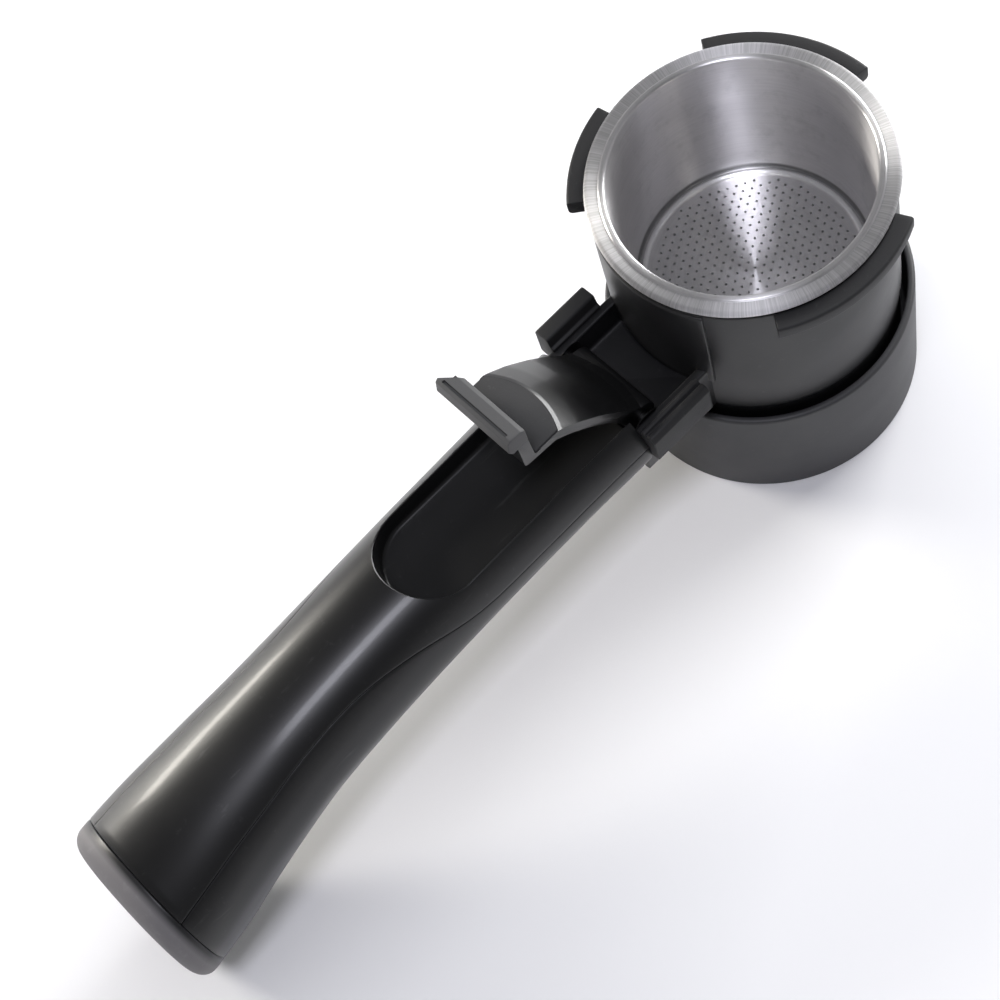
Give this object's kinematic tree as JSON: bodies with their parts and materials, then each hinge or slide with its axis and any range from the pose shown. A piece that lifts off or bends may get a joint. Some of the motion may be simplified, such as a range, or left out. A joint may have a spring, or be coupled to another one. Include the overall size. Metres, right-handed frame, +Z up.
{
  "type": "portafilter",
  "caption": "Portafilter with a lift-out perforated basket, a hinged thumb lever that holds the basket in, bayonet lugs, a skirt over twin outlets and a hollow flared handle.",
  "frame": {"origin": "on the cup's axis, in the plane the portafilter rests on (the skirt's bottom edge)", "axes": "+Z up along the cup's axis, out of the basket's mouth; the handle runs toward -Y; +X to the right when looking along +Y"},
  "size_m": [0.0679, 0.2158, 0.082],
  "materials": {
    "holder_black": "textured black moulding, semi-gloss on the bowl",
    "handle_black": "glossy black moulding",
    "cap_black": "matt dark grey moulding",
    "skirt_black": "satin dark grey-black moulding",
    "lever_black": "satin black moulding",
    "pad_rubber": "matt dark grey rubber",
    "basket_steel": "brushed stainless steel",
    "fastener_steel": "zinc-plated steel",
    "insert_brass": "knurled brass",
    "seal_rubber": "red-brown silicone rubber"
  },
  "bodies": {
    "holder": {"filter_holder": "holder_black", "skirt": "skirt_black", "skirt_screws": "fastener_steel", "outlet_spout": "holder_black", "outlet_gasket": "seal_rubber", "outlet_screw": "fastener_steel", "outlet_washer": "fastener_steel", "diffuser_disc": "basket_steel", "basket_seal": "seal_rubber", "lever_pin": "fastener_steel", "pin_washers": "fastener_steel", "handle_lower": "handle_black", "handle_upper": "handle_black", "butt_cap": "cap_black", "tang_screws": "fastener_steel", "tang_inserts": "insert_brass", "cover_screws": "fastener_steel"},
    "basket": {"filter_basket": "basket_steel"},
    "lever": {"retainer_lever": "lever_black", "lever_pad": "pad_rubber"}
  },
  "joints": [
    {"name": "lever_pivot", "type": "hinge", "parent": "holder", "child": "lever", "pos_m": [0, -0.042, 0.0465], "axis": [1, 0, 0], "range_deg": [-58, 38]},
    {"name": "basket_lift", "type": "slide", "parent": "holder", "child": "basket", "axis": [0, 0, 1], "range_m": [0, 0.065]}
  ]
}
